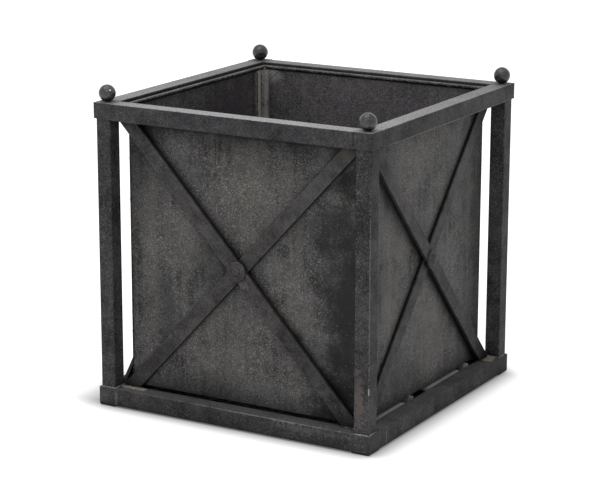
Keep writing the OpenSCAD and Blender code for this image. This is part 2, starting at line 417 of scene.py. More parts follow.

# %% [markdown]
# ## The grey finishes
# The frame is dark, slightly cool steel with a thin old patina; the liner is paler and
# cloudier, like zinc sheet. Both are one recipe with other values. It lays down two base
# tones in clouds, a third tone in wider patches, water runs, soft clouds at given places,
# pits and dust, soft dark spots at given places, some of them painted shade, sharp-edged
# marks at given places, a painted sheen on faces that look up, specks, painted shade with
# some grime in corners, and rubbed edges. Clouds lie under the dust, so that the grain stays
# crisp; the dark spots lie over it and mute it. A metallic shader would mirror the white
# studio and look new, so the patina is a dull dielectric with hardly any shine. Only the
# balls keep some.

# %% One recipe for every grey metal
# Where the painted sheen on faces that look up is brightest, and how far off it fades.
SHEEN_PEAK = (0.04, -0.29, 0.61)
SHEEN_FADE = 0.5
TOP_GRAIN = 0.004
PATCH_FROM, PATCH_TO = 0.5, 0.68
RUN_LENGTH = 0.22
PIT_SHIFT = (0.31, 0.17, 0.23)
PIT_SCALE = 1.3
FEW_STRONG = 3.0
THIN_DUST = 0.5
SPECK_DOT = 0.42
WORN_PATCH = 0.014
ROUGH_SWING = 0.06
WORN_GLOSS = 0.12
SOFT_EDGE = 0.6
BUMP_HEIGHT = 0.0006
CLOUDY = {"scale": 22.0, "sway": 0.6, "Full": 0.2, "End": 1.3}
SHARP = {"scale": 150.0, "sway": 0.7, "Full": 0.55, "End": 1.05}


def lay(tree, mask, strength, colour, over):
    """Lay a tone over the colour where the mask is white, at a strength from 0 to 1."""
    return blend(tree, times(tree, mask, strength), colour, over)


def lay_spots(tree, place, colour, spots, edge):
    """Lay each spot over the colour; edge says how soft and how uneven their outlines are."""
    if not spots:
        return colour
    sway = noise(tree, place, edge["scale"], 5, roughness=0.68)
    ragged = remap(tree, sway, 0.3, 0.7, -edge["sway"], edge["sway"])
    for each in spots:
        mask = use(tree, STAIN, Vector=place, Centre=each["centre"], Spread=each["spread"],
                   Ragged=ragged, Full=edge["Full"], End=edge["End"])
        colour = lay(tree, mask, each["share"], colour, each["tone"])
    return colour


def grey_metal(name, tones, scales, finish):
    """tones are colours, scales are sizes in metres, and finish holds strengths from 0 to 1."""
    material = bpy.data.materials.new(name)
    material.use_nodes = True
    tree = material.node_tree
    tree.nodes.clear()
    place = add(tree, "TexCoord").outputs["Object"]
    clouds = use(tree, MOTTLING, Vector=place, Size=scales["cloud"], Low=finish["low"], High=finish["high"])
    colour = blend(tree, clouds, tones["dark"], tones["light"])
    patches = use(tree, MOTTLING, Vector=place, Size=scales["patch"], Low=PATCH_FROM, High=PATCH_TO)
    colour = lay(tree, patches, finish["patches"], colour, tones["patch"])
    if finish["runs"]:
        runs = use(tree, RUNS, Vector=place, Width=scales["run"], Length=RUN_LENGTH)
        colour = lay(tree, runs, finish["runs"], colour, tones["run"])
    colour = lay_spots(tree, place, colour, finish["clouds"], CLOUDY)
    aside = vector_math(tree, "ADD", place, PIT_SHIFT)[0]
    pits = use(tree, DUST, Vector=aside, Size=scales["dust"] * PIT_SCALE, Power=FEW_STRONG)
    colour = lay(tree, pits, finish["pits"], colour, tones["pit"])
    dust = use(tree, DUST, Vector=place, Size=scales["dust"], Power=FEW_STRONG)
    thick = remap(tree, patches, 0, 1, finish["dust"] * THIN_DUST, finish["dust"])
    colour = lay(tree, dust, thick, colour, tones["dust"])
    colour = lay_spots(tree, place, colour, finish["shades"], CLOUDY)
    colour = lay_spots(tree, place, colour, finish["stains"], SHARP)
    # Painted sheen: faces that look up are made paler, most of all near one place.
    sheen = use(tree, TOP_SHEEN, Vector=place, Patch=TOP_GRAIN, Palest=SHEEN_PEAK, Fade=SHEEN_FADE)
    colour = lay(tree, sheen, finish["sheen"], colour, tones["top"])
    specks = use(tree, SPECKS, Vector=place, Size=scales["speck"], Share=finish["speck_share"],
                 Dot=SPECK_DOT)
    colour = lay(tree, specks, finish["specks"], colour, tones["speck"])
    # Painted shade, with some grime, where little sky is open nearby.
    corners = use(tree, CORNER_SHADE_AND_GRIME, Reach=finish["reach"])
    colour = lay(tree, corners, finish["shade_and_grime"], colour, tones["shade_and_grime"])
    worn = use(tree, WORN_EDGES, Vector=place, Radius=finish["edge"], Patch=WORN_PATCH)
    colour = lay(tree, worn, finish["wear"], colour, tones["worn"])
    rough = remap(tree, clouds, 0, 1, finish["rough"] + ROUGH_SWING, finish["rough"] - ROUGH_SWING)
    rough = calculate(tree, "SUBTRACT", rough, times(tree, worn, WORN_GLOSS), clamp=True)
    height = use(tree, GRAIN, Vector=place, Size=scales["grain"], Dents=finish["dents"])
    rounded = add(tree, "Bevel", {"Radius": finish["edge"] * SOFT_EDGE}, samples=SAMPLES).outputs[0]
    bump = add(tree, "Bump", {"Height": height, "Normal": rounded, "Strength": finish["bump"],
                              "Distance": BUMP_HEIGHT})
    shader = add(tree, "BsdfPrincipled", {
        "Base Color": colour, "Roughness": rough, "Normal": bump.outputs[0],
        "Specular IOR Level": finish["shine"], "Metallic": 0.0})
    add(tree, "OutputMaterial", {"Surface": shader.outputs[0]})
    return material


print("pits are", PIT_SCALE, "times as wide as grains of dust")

# %% Spots at given places
SHEET_FACE = 0.262
SHEET_REACH = 0.02


def spot(centre, spread, share, shade):
    """One stain or cloud: where it is, how far it reaches on each axis, how strong, and its colour."""
    return {"centre": centre, "spread": spread, "share": share, "tone": shade}


def on_front(x, z, wide, high, share, shade):
    """A spot on the liner's front wall, given by its place and reach along the wall."""
    return spot((x, -SHEET_FACE, z), (wide, SHEET_REACH, high), share, shade)


def on_right(y, z, wide, high, share, shade):
    """A spot on the liner's right wall."""
    return spot((SHEET_FACE, y, z), (SHEET_REACH, wide, high), share, shade)


BLACKENED_AND_SHADE = tone(26, 24, 26)
DULL_AND_SHADE = tone(34, 36, 36)
WARM = tone(94, 91, 87)
SHADED = tone(60, 55, 61)
print("cloudy spots fade over", CLOUDY["End"] - CLOUDY["Full"], "of their reach, sharp ones over",
      SHARP["End"] - SHARP["Full"])

# %% [markdown]
# ## Iron of the frame
# Rails, posts, bars and bosses are the same steel, but posts have the most grain, low
# rails hardly any painted sheen on top, and bars the brightest edges. One finish for all
# would look like plastic. Marks and clouds stand where the photograph shows them; some of
# the near-black clouds are painted shade.

# %% Iron finishes
# The top tone in each set colours the painted sheen on faces that look up.
IRON_TONES = {
    "dark": tone(39, 38, 40), "light": tone(71, 70, 72), "patch": tone(74, 73, 72), "pit": tone(18, 17, 18),
    "dust": tone(140, 138, 139), "speck": tone(160, 158, 156), "worn": tone(122, 120, 118),
    # The first tone on the next line colours painted shade and grime in corners.
    "shade_and_grime": tone(18, 17, 18), "run": tone(74, 72, 72), "top": tone(196, 194, 196)}
IRON_SCALES = {"cloud": 0.06, "patch": 0.12, "run": 0.01, "speck": 0.003, "grain": 0.0018, "dust": 0.0021}
IRON_FINISH = {
    "patches": 0.4, "runs": 0.0, "pits": 0.6, "dust": 0.45, "specks": 0.25, "speck_share": 0.07, "sheen": 0.8,
    "shade_and_grime": 0.85, "reach": 0.02, "wear": 0.6, "edge": 0.0016, "rough": 0.5, "dents": 0.6, "bump": 0.7,
    "shine": 0.06, "low": 0.36, "high": 0.64, "clouds": [], "shades": [], "stains": []}
UPPER_MARKS = [
    spot((0.2655, -0.3045, 0.596), (0.0014, 0.004, 0.02), 0.85, tone(24, 23, 24)),
    spot((0.301, -0.301, 0.3), (0.0018, 0.0018, 0.24), 0.35, tone(140, 138, 136)),
    spot((0.3045, -0.02, 0.58), (0.003, 0.3, 0.0014), 0.5, tone(132, 130, 131)),
    spot((0.28, -0.3013, 0.1), (0.012, 0.006, 0.05), 0.35, tone(114, 103, 97)),
    spot((0.3008, -0.3008, 0.126), (0.0016, 0.0016, 0.008), 0.8, tone(178, 174, 168))]
UPPER_CLOUDS = [
    spot((0.285, -0.301, 0.47), (0.05, 0.01, 0.14), 0.5, BLACKENED_AND_SHADE),
    spot((0.301, -0.18, 0.595), (0.01, 0.2, 0.03), 0.45, BLACKENED_AND_SHADE),
    spot((0.301, 0.2, 0.595), (0.01, 0.08, 0.03), 0.3, tone(96, 94, 98))]
LOWER_MARKS = [
    spot((-0.2655, -0.3045, 0.021), (0.004, 0.003, 0.02), 0.5, tone(108, 107, 105)),
    spot((0.29, -0.245, 0.039), (0.014, 0.024, 0.006), 0.5, tone(84, 80, 68)),
    spot((0.128, -0.3045, 0.0385), (0.03, 0.004, 0.003), 0.5, tone(120, 114, 98)),
    spot((0.17, -0.3045, 0.03), (0.09, 0.003, 0.007), 0.3, tone(104, 103, 102)),
    spot((0.07, -0.3045, 0.0388), (0.22, 0.003, 0.0015), 0.55, tone(126, 123, 117)),
    spot((0.3045, -0.235, 0.02), (0.003, 0.0022, 0.014), 0.6, tone(126, 124, 122))]
BAR_MARKS = [
    spot((-0.25, -0.276, 0.57), (0.022, 0.012, 0.016), 0.45, tone(98, 96, 84)),
    spot((0.24, -0.269, 0.56), (0.022, 0.012, 0.016), 0.4, tone(96, 93, 82)),
    spot((0.012, -0.276, 0.28), (0.014, 0.006, 0.01), 0.3, tone(118, 112, 102))]
# The near-black clouds below paint shade on the lower parts of the bars, where posts and bottom rails shadow
# them; the paler ones lighten the bars higher up.
BAR_CLOUDS = [
    spot((0.245, -0.274, 0.06), (0.06, 0.02, 0.06), 0.85, BLACKENED_AND_SHADE),
    spot((-0.2, -0.272, 0.1), (0.07, 0.02, 0.07), 0.4, BLACKENED_AND_SHADE),
    spot((0.274, 0.245, 0.075), (0.02, 0.05, 0.06), 0.8, BLACKENED_AND_SHADE),
    spot((0.14, -0.276, 0.19), (0.09, 0.02, 0.11), 0.5, BLACKENED_AND_SHADE),
    spot((0.16, -0.27, 0.48), (0.09, 0.02, 0.1), 0.35, tone(92, 91, 91)),
    spot((0.27, -0.13, 0.46), (0.02, 0.08, 0.1), 0.4, tone(98, 96, 97)),
    spot((0.27, 0.15, 0.47), (0.02, 0.08, 0.1), 0.45, tone(102, 100, 101))]
LOWER_CLOUDS = [
    spot((0.0, -0.3045, 0.02), (0.28, 0.01, 0.03), 0.45, BLACKENED_AND_SHADE),
    spot((-0.29, -0.3045, 0.02), (0.02, 0.01, 0.03), 0.3, tone(96, 95, 95)),
    spot((0.3045, 0.285, 0.02), (0.02, 0.04, 0.04), 0.75, BLACKENED_AND_SHADE)]

UPPER_FINISH = {**IRON_FINISH, "stains": UPPER_MARKS, "clouds": UPPER_CLOUDS}
iron = grey_metal("aged_iron", IRON_TONES, IRON_SCALES, UPPER_FINISH)
post_iron = grey_metal("post_iron", {**IRON_TONES, "dark": tone(34, 33, 34)}, IRON_SCALES,
                       {**UPPER_FINISH, "pits": 0.85, "dust": 0.62, "specks": 0.35})
low_iron = grey_metal("low_iron", {**IRON_TONES, "dark": tone(34, 32, 34)}, IRON_SCALES,
                      {**IRON_FINISH, "stains": LOWER_MARKS, "clouds": LOWER_CLOUDS, "sheen": 0.25,
                       "wear": 0.8})
BAR_TONES = {**IRON_TONES, "dark": tone(44, 42, 43), "light": tone(76, 74, 75)}
bar_iron = grey_metal("bar_iron", BAR_TONES, {**IRON_SCALES, "cloud": 0.03},
                      {**IRON_FINISH, "stains": BAR_MARKS, "clouds": BAR_CLOUDS, "sheen": 0.2, "wear": 0.9,
                       "edge": 0.0022, "reach": 0.03, "pits": 0.4, "dust": 0.32})
boss_iron = grey_metal("boss_iron", BAR_TONES, {**IRON_SCALES, "cloud": 0.02},
                       {**IRON_FINISH, "sheen": 0.1, "wear": 0.9, "reach": 0.004})
# Painted glints: a small white spot on the left ball and one on the near ball, where a lamp's highlight
# would show.
BALL_GLINTS = [
    spot((-0.2727, -0.2934, 0.637), (0.0016, 0.0016, 0.0016), 0.9, grey(232)),
    spot((0.2966, -0.293, 0.619), (0.0016, 0.0016, 0.0016), 0.8, tone(200, 198, 196))]
turned_iron = grey_metal("turned_iron", {**IRON_TONES, "dark": grey(18), "light": tone(60, 59, 58)},
                         {**IRON_SCALES, "cloud": 0.014},
                         {**IRON_FINISH, "stains": BALL_GLINTS, "rough": 0.13, "shine": 0.42, "dents": 0.9,
                          "bump": 0.35, "sheen": 0.0})
print("iron finishes", [m.name for m in bpy.data.materials if "iron" in m.name])

# %% [markdown]
# ## Zinc of the liner and steel of the base
# The liner's walls show the widest clouds and the only streaks, and painted shadow: a dark
# band and a black line under the front rail, and dark places beside the bars. Its corners
# are the same sheet without shine, its rim has painted shade on its underside, and the
# strips below are bare, pale steel.

# %% Zinc and base finishes
SHEET_CLOUDS = [
    on_front(0.04, 0.45, 0.08, 0.1, 0.6, WARM),
    on_front(-0.205, 0.33, 0.022, 0.17, 0.65, WARM),
    on_front(-0.119, 0.35, 0.03, 0.07, 0.6, WARM),
    on_front(-0.05, 0.15, 0.1, 0.07, 0.5, WARM),
    on_front(0.12, 0.25, 0.035, 0.13, 0.6, WARM),
    on_right(-0.05, 0.53, 0.08, 0.06, 0.6, WARM),
    on_right(-0.1, 0.4, 0.03, 0.12, 0.5, WARM),
    on_right(-0.21, 0.47, 0.03, 0.12, 0.5, WARM),
    on_right(-0.16, 0.24, 0.02, 0.16, 0.6, WARM),
    on_right(0.07, 0.42, 0.012, 0.12, 0.5, WARM),
    on_right(-0.235, 0.33, 0.012, 0.16, 0.55, tone(104, 100, 96)),
    on_right(0.02, 0.17, 0.08, 0.09, 0.5, WARM),
    on_right(0.19, 0.36, 0.014, 0.16, 0.5, WARM),
    spot((0.02, 0.262, 0.5), (0.3, 0.02, 0.14), 0.55, tone(92, 88, 93)),
    spot((-0.2605, 0.238, 0.4), (0.007, 0.012, 0.5), 0.92, tone(222, 214, 202)),
    spot((-0.255, 0.256, 0.4), (0.009, 0.006, 0.5), 0.85, tone(176, 173, 169)),
    spot((-0.24, 0.262, 0.59), (0.024, 0.012, 0.016), 0.75, tone(164, 162, 159))]
SHEET_SHADES = [
    # The next two lines paint shadow under the front rail: a dark band and a black line.
    on_front(-0.08, 0.57, 0.3, 0.03, 0.5, DULL_AND_SHADE),
    on_front(0, 0.573, 0.5, 0.01, 0.85, grey(12)),
    on_front(-0.23, 0.5, 0.05, 0.1, 0.45, DULL_AND_SHADE),
    on_front(-0.06, 0.32, 0.05, 0.08, 0.45, DULL_AND_SHADE),
    on_front(-0.165, 0.2, 0.03, 0.08, 0.5, DULL_AND_SHADE),
    on_front(-0.06, 0.06, 0.22, 0.03, 0.45, DULL_AND_SHADE),
    # The next two lines paint shade in a strip beside the near post.
    on_front(0.235, 0.32, 0.065, 0.36, 0.8, DULL_AND_SHADE),
    on_front(0.232, 0.24, 0.04, 0.22, 0.6, BLACKENED_AND_SHADE),
    on_front(0.16, 0.42, 0.05, 0.05, 0.35, DULL_AND_SHADE),
    # The next two lines paint black shadow by the right-hand ends of the front bars.
    on_front(0.235, 0.08, 0.07, 0.07, 0.95, grey(18)),
    on_front(0.228, 0.5, 0.04, 0.035, 0.9, grey(18)),
    on_front(0.126, 0.193, 0.018, 0.016, 0.7, DULL_AND_SHADE),
    on_right(-0.2, 0.3, 0.04, 0.12, 0.3, DULL_AND_SHADE),
    on_right(0.24, 0.33, 0.05, 0.4, 0.5, DULL_AND_SHADE),
    on_right(-0.14, 0.08, 0.1, 0.06, 0.5, DULL_AND_SHADE),
    # Painted shade at the lower far end of the right wall, by a bar's end.
    on_right(0.21, 0.08, 0.06, 0.06, 0.6, BLACKENED_AND_SHADE),
    spot((-0.262, 0.14, 0.5), (0.02, 0.1, 0.2), 0.7, SHADED),
    spot((-0.258, -0.258, 0.32), (0.009, 0.009, 0.5), 0.7, DULL_AND_SHADE)]
RIM_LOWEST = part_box("rim_front")[0].z
RIM_SHADE = [spot((0, 0, RIM_LOWEST), (3, 3, 0.0062), 0.94, tone(14, 13, 15))]
ZINC_TONES = {
    "dark": tone(34, 34, 36), "light": tone(76, 75, 76), "patch": tone(84, 81, 79), "pit": grey(18),
    "dust": tone(162, 159, 156), "speck": tone(176, 174, 170), "worn": tone(112, 111, 108),
    # The first tone on the next line colours painted shade and grime in corners.
    "shade_and_grime": tone(15, 15, 16), "run": tone(88, 86, 84), "top": tone(112, 111, 108)}
ZINC_SCALES = {"cloud": 0.07, "patch": 0.11, "run": 0.013, "speck": 0.0034, "grain": 0.0018, "dust": 0.0021}
ZINC_FINISH = {
    "patches": 0.6, "runs": 0.55, "pits": 0.8, "dust": 0.82, "specks": 0.2, "speck_share": 0.06,
    "sheen": 0.35, "shade_and_grime": 0.85, "reach": 0.035, "wear": 0.4, "edge": 0.0012, "rough": 0.46, "dents": 0.7,
    "bump": 0.6, "shine": 0.1, "low": 0.4, "high": 0.6, "clouds": SHEET_CLOUDS, "shades": SHEET_SHADES,
    "stains": []}
SPOTLESS = {"clouds": [], "shades": [], "runs": 0.0}

zinc = grey_metal("zinc_sheet", ZINC_TONES, ZINC_SCALES, ZINC_FINISH)
corner_zinc = grey_metal("corner_zinc", ZINC_TONES, ZINC_SCALES,
                         {**ZINC_FINISH, "wear": 0.1, "shine": 0.0})
# The rim's top gets a strong painted sheen, and its underside painted shade.
rim_zinc = grey_metal(
    "rim_zinc", {**ZINC_TONES, "top": tone(156, 154, 151)}, ZINC_SCALES,
    {**ZINC_FINISH, **SPOTLESS, "stains": RIM_SHADE, "reach": 0.01, "sheen": 0.7})
base_steel = grey_metal(
    "base_steel", {**ZINC_TONES, "dark": tone(146, 145, 144), "light": tone(170, 169, 168)}, ZINC_SCALES,
    {**ZINC_FINISH, **SPOTLESS, "pits": 0.1, "dust": 0.1, "specks": 0.0, "patches": 0.0, "shade_and_grime": 0.3})
print("spots on the liner", len(SHEET_CLOUDS) + len(SHEET_SHADES))

# %% [markdown]
# ## Finishes of welds and solder
# A lump of weld keeps a pale crust, rings are paler over the feet than under the caps,
# and solder is paler than the sheet. It is the same recipe with finer clouds.

# %% Welds and solder
weld = grey_metal(
    "weld_residue",
    {**IRON_TONES, "dark": tone(62, 59, 54), "light": tone(150, 144, 133), "patch": tone(156, 149, 137),
     "dust": tone(190, 184, 174)},
    {**IRON_SCALES, "cloud": 0.01, "patch": 0.014},
    {**IRON_FINISH, "shade_and_grime": 0.5, "reach": 0.01, "sheen": 0.1})
ring_weld = grey_metal("ring_weld", {**IRON_TONES, "dark": tone(52, 50, 51), "light": tone(104, 102, 101)},
                       {**IRON_SCALES, "cloud": 0.012}, {**IRON_FINISH, "shade_and_grime": 0.3, "sheen": 0.2})
foot_weld = grey_metal(
    "foot_weld", {**IRON_TONES, "dark": tone(56, 54, 54), "light": tone(184, 182, 180)},
    {**IRON_SCALES, "cloud": 0.02}, {**IRON_FINISH, "shade_and_grime": 0.1, "sheen": 0.2, "patches": 0.1})
solder = grey_metal(
    "solder", {**ZINC_TONES, "dark": tone(58, 57, 56), "light": tone(108, 105, 101)},
    {**ZINC_SCALES, "cloud": 0.012}, {**ZINC_FINISH, **SPOTLESS, "reach": 0.012})
print("all finishes", len(bpy.data.materials))

# %% [markdown]
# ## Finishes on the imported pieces
# Posts, rails, caps, feet, bars, strips and the liner's corners already have their right
# shape. Only their materials change: every slot of a node takes the finish that the start
# of the node's name calls for, and the longest match wins.

# %% Give every node its finish
FINISH_BY_PREFIX = {
    "post": post_iron, "top_rail": iron, "bottom_rail": low_iron, "cap": iron, "foot": low_iron,
    "finial": turned_iron, "outer_brace": bar_iron, "inner_brace": bar_iron,
    "rosettes": boss_iron, "rivets": boss_iron, "base_strip": base_steel,
    "liner_bearers": base_steel, "liner": zinc, "liner_corner": corner_zinc, "rim": rim_zinc}

for name, piece in nodes.items():
    prefix = max((p for p in FINISH_BY_PREFIX if name.startswith(p)), key=len)
    for slot in piece.material_slots:
        slot.material = FINISH_BY_PREFIX[prefix]
print("finished", len(nodes), "nodes")

# %% [markdown]
# ## Sizes taken from the frame
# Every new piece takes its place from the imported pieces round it, so that it still fits
# if a size is changed there. The boxes of a few of them give all that is needed.

# %% Sizes of the frame
post_low, post_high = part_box("post_front_right")
cap_low, cap_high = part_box("cap_front_right")
foot_low, foot_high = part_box("foot_front_right")
wall_low, wall_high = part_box("liner_wall_front")
rim_low, rim_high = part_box("rim_front")
finial_low, finial_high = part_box("finial_front_right")
rosette_low, rosette_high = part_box("rosettes")

INNER = post_low.x
CORNER = (post_low.x + post_high.x) / 2
POST_HALF = (post_high.x - post_low.x) / 2
BAY_LOW = foot_high.z
BAY_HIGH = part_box("top_rail_front")[0].z
BAY_MID = (BAY_LOW + BAY_HIGH) / 2
BAR_FACE = -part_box("outer_brace_front")[0].y
QUARTER = math.pi / 2
SIDES = ("front", "right", "back", "left")
CORNERS = {"front_left": (-1, -1), "front_right": (1, -1), "back_right": (1, 1), "back_left": (-1, 1)}
print("bay", round(BAY_LOW, 4), "to", round(BAY_HIGH, 4), "inner face", round(INNER, 5))

# %% [markdown]
# ## Small tools for modelling
# Each operator acts on whatever is selected, so every piece starts from an empty
# selection, and its faces are picked by where they lie.

# %% Helpers for modelling


def start(chosen=()):
    """Nothing selected, ready for a new primitive, or else only the chosen pieces."""
    bpy.ops.object.select_all(action="DESELECT")
    for piece in chosen:
        piece.select_set(True)
    if chosen:
        bpy.context.view_layer.objects.active = chosen[0]


def pick_faces(piece, test):
    """In edit mode, select only the faces whose centre and normal pass the test."""
    shape = bmesh.from_edit_mesh(piece.data)
    bpy.ops.mesh.select_all(action="DESELECT")
    for face in shape.faces:
        face.select_set(test(face.calc_center_median(), face.normal))
    shape.select_flush(True)
    bmesh.update_edit_mesh(piece.data)


def edit():
    """Apply the place of a new primitive and open it in edit mode, all selected."""
    bpy.ops.object.transform_apply(location=True, rotation=True)
    bpy.ops.object.mode_set(mode="EDIT")
    bpy.ops.mesh.select_all(action="SELECT")


def draw_out(offset):
    """Extrude what is selected and move it."""
    bpy.ops.mesh.extrude_region_move(TRANSFORM_OT_translate={"value": offset})


def widen(factor, centre):
    """Scale what is selected about a point, alike in all directions."""
    bpy.ops.transform.resize(value=(factor, factor, factor), center_override=centre)


def clean_up():
    """Merge doubles and turn every face outwards, then leave edit mode."""
    bpy.ops.mesh.select_all(action="SELECT")
    bpy.ops.mesh.remove_doubles(threshold=0.00001)
    bpy.ops.mesh.normals_make_consistent(inside=False)
    bpy.ops.object.mode_set(mode="OBJECT")


def settle(piece, name, material, body, smooth=35):
    """Name a finished piece, apply its place, give it its finish and let it ride."""
    piece.name = name
    start([piece])
    bpy.ops.object.transform_apply(location=True, rotation=True, scale=True)
    bpy.ops.object.shade_smooth_by_angle(angle=math.radians(smooth))
    piece.data.materials.clear()
    piece.data.materials.append(material)
    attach(piece, body)
    return piece


def turn_to(piece, side):
    """Turn a mesh about the middle, from the front to face number side."""
    piece.data.transform(Matrix.Rotation(side * QUARTER, 4, "Z"))
    return piece


def copy_turned(piece, side):
    """A copy with its own mesh, turned to another face."""
    twin = piece.copy()
    twin.data = piece.data.copy()
    bpy.context.collection.objects.link(twin)
    return turn_to(twin, side)


def on_all_faces(piece):
    """The piece at the front and a copy of it on each other face."""
    return [piece] + [copy_turned(piece, side) for side in (1, 2, 3)]


def join(parts):
    """Join several objects into the first of them."""
    start(parts)
    bpy.ops.object.join()
    return parts[0]


print("each bay is", round(BAY_HIGH - BAY_LOW, 4), "high")

# %% [markdown]
# ## Ball finials
# A finial is turned from one bar: a ball that narrows to a short neck on the cap. The
# neck could be a separate cylinder pushed into the ball, but a lathe leaves one skin.
# So a sphere is cut open where it is as wide as the neck, and the cut edge is drawn down
# to the cap and flared a little. A hammered ball isn't perfectly round, so a soft noise
# pushes its skin in by fractions of a millimetre.

# %% Four balls
BALL_R = (finial_high.x - finial_low.x) / 2
BALL_Z = finial_high.z - BALL_R
NECK_R = 0.0068
NECK_FLARE = 1.12
BALL_DENTS = 0.0005
BALL_DENT_SIZE = 0.011


def dent(piece, strength, size, group=""):
    """Push a skin in and out by a soft noise that belongs to its place."""
    clouds = bpy.data.textures.new("dents", "CLOUDS")
    clouds.noise_scale = size
    clouds.noise_depth = 1
    change = piece.modifiers.new("dents", "DISPLACE")
    change.texture = clouds
    change.texture_coords = "LOCAL"
    change.strength = strength
    change.mid_level = 0.5
    change.vertex_group = group
    start([piece])
    bpy.ops.object.modifier_apply(modifier=change.name)


def make_ball(place, x, y):
    """One ball with its neck, over the middle of a cap."""
    start()
    bpy.ops.mesh.primitive_uv_sphere_add(segments=64, ring_count=40, radius=BALL_R - BALL_DENTS / 2,
                                         location=(x, y, BALL_Z))
    ball = bpy.context.object
    edit()
    cut = BALL_Z - math.sqrt(BALL_R ** 2 - NECK_R ** 2)
    bpy.ops.mesh.bisect(plane_co=(x, y, cut), plane_no=(0, 0, 1), clear_inner=True)
    for share in (0.6, 0.4):
        draw_out((0, 0, (cap_high.z - cut) * share))
    widen(NECK_FLARE, (x, y, cap_high.z))
    bpy.ops.mesh.edge_face_add()
    clean_up()
    dent(ball, BALL_DENTS, BALL_DENT_SIZE)
    settle(ball, "ball_" + place, turned_iron, "frame")
    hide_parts("finial_" + place)
    return ball


balls = [make_ball(place, sx * CORNER, sy * CORNER) for place, (sx, sy) in CORNERS.items()]
print("balls of", round(2000 * BALL_R, 1), "mm, faces", [len(b.data.polygons) for b in balls])

# %% [markdown]
# ## Rosettes
# Each crossing is covered by a round boss with a rounded shoulder and a ring groove that
# the rivet head sits in. A revolved profile would do as well. Here a short cylinder gets
# its shoulder from a bevel, and the rest from insets, which is how a turner would cut it:
# one step after another from the rim to the middle.

# %% Four rosettes
ROSETTE_T = -rosette_low.y - BAR_FACE
ROSETTE_R = (rosette_high.z - rosette_low.z) / 2
SHOULDER = 0.0016
GROOVE_R = 0.0098
GROOVE_W = 0.0011
GROOVE_DEPTH = 0.0011
CROWN = 0.0005


def make_rosette():
    """The boss over the front crossing."""
    start()
    bpy.ops.mesh.primitive_cylinder_add(
        vertices=72, radius=ROSETTE_R, depth=ROSETTE_T, rotation=(QUARTER, 0, 0),
        location=(0, -BAR_FACE - ROSETTE_T / 2, BAY_MID))
    rosette = bpy.context.object
    edit()
    bpy.ops.mesh.select_mode(type="FACE")
    pick_faces(rosette, lambda centre, normal: normal.y < -0.9)
    bpy.ops.mesh.bevel(offset=SHOULDER, segments=5, affect="EDGES")
    pick_faces(rosette, lambda centre, normal: normal.y < -0.999)
    for share in (0.7, 0.3):
        bpy.ops.mesh.inset(thickness=(ROSETTE_R - SHOULDER - GROOVE_R) / 2, depth=CROWN * share)
    bpy.ops.mesh.inset(thickness=GROOVE_W * 0.3, depth=-GROOVE_DEPTH)
    bpy.ops.mesh.inset(thickness=GROOVE_W, depth=0)
    bpy.ops.mesh.select_mode(type="VERT")
    clean_up()
    return rosette


rosettes = on_all_faces(make_rosette())
turned_rosettes = settle(join(rosettes), "turned_rosettes", boss_iron, "frame", smooth=50)
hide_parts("rosettes")
print("rosettes", len(rosettes), "faces", len(turned_rosettes.data.polygons))

# %% [markdown]
# ## Rivets
# A rivet starts as a round bar with one domed head. It is pushed through rosette and
# bars, and its other end is hammered flat inside. The head is the top of a large sphere,
# cut off by a plane, and the cut edge is drawn in to the shank, along it, and out again
# to the tail.

# %% Four rivets
HEAD_Y = rosette_low.y
HEAD_H = HEAD_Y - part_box("rivets")[0].y
HEAD_R = 0.0085
SHANK_R = 0.004
TAIL_R = 0.007
TAIL_T = 0.0015
TAIL_ROUND = 0.86
TAIL_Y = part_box("inner_brace_front")[1].y
DOME_R = (HEAD_R ** 2 + HEAD_H ** 2) / (2 * HEAD_H)


def make_rivet():
    """The rivet through the front crossing, from its domed head to its flat tail."""
    start()
    middle = (0, HEAD_Y - HEAD_H + DOME_R, BAY_MID)
    bpy.ops.mesh.primitive_uv_sphere_add(segments=48, ring_count=32, radius=DOME_R, location=middle,
                                         rotation=(QUARTER, 0, 0))
    rivet = bpy.context.object
    edit()
    bpy.ops.mesh.bisect(plane_co=(0, HEAD_Y, BAY_MID), plane_no=(0, 1, 0), clear_outer=True)
    draw_out((0, 0, 0))
    widen(SHANK_R / HEAD_R, (0, HEAD_Y, BAY_MID))
    draw_out((0, TAIL_Y - HEAD_Y, 0))
    draw_out((0, 0, 0))
    widen(TAIL_R / SHANK_R, (0, TAIL_Y, BAY_MID))
    for share in (0.6, 0.4):
        draw_out((0, TAIL_T * share, 0))
    widen(TAIL_ROUND, (0, TAIL_Y + TAIL_T, BAY_MID))
    bpy.ops.mesh.edge_face_add()
    clean_up()
    return rivet


rivets = on_all_faces(make_rivet())
domed_rivets = settle(join(rivets), "domed_rivets", boss_iron, "frame", smooth=40)
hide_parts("rivets")
print("rivets", len(rivets), "head", round(2000 * HEAD_R, 1), "by", round(1000 * HEAD_H, 1), "mm")

# %% [markdown]
# ## Liner sheets
# Sheet zinc never lies quite flat between its folds. Each wall is a fine grid whose
# middle is pushed in and out by about a millimetre, while its edges, which the corners
# and the rim hold, stay where they are. The sheet gets its thickness afterwards, so that
# both of its faces follow the same waves.

# %% Four walls with soft waves
SHEET_CELLS = 56
WAVE = 0.0022
WAVE_SIZE = 0.13
HELD = 0.05
sheet_y = (wall_low.y + wall_high.y) / 2
sheet_w = wall_high.x - wall_low.x
sheet_h = wall_high.z - wall_low.z
sheet_z = (wall_low.z + wall_high.z) / 2


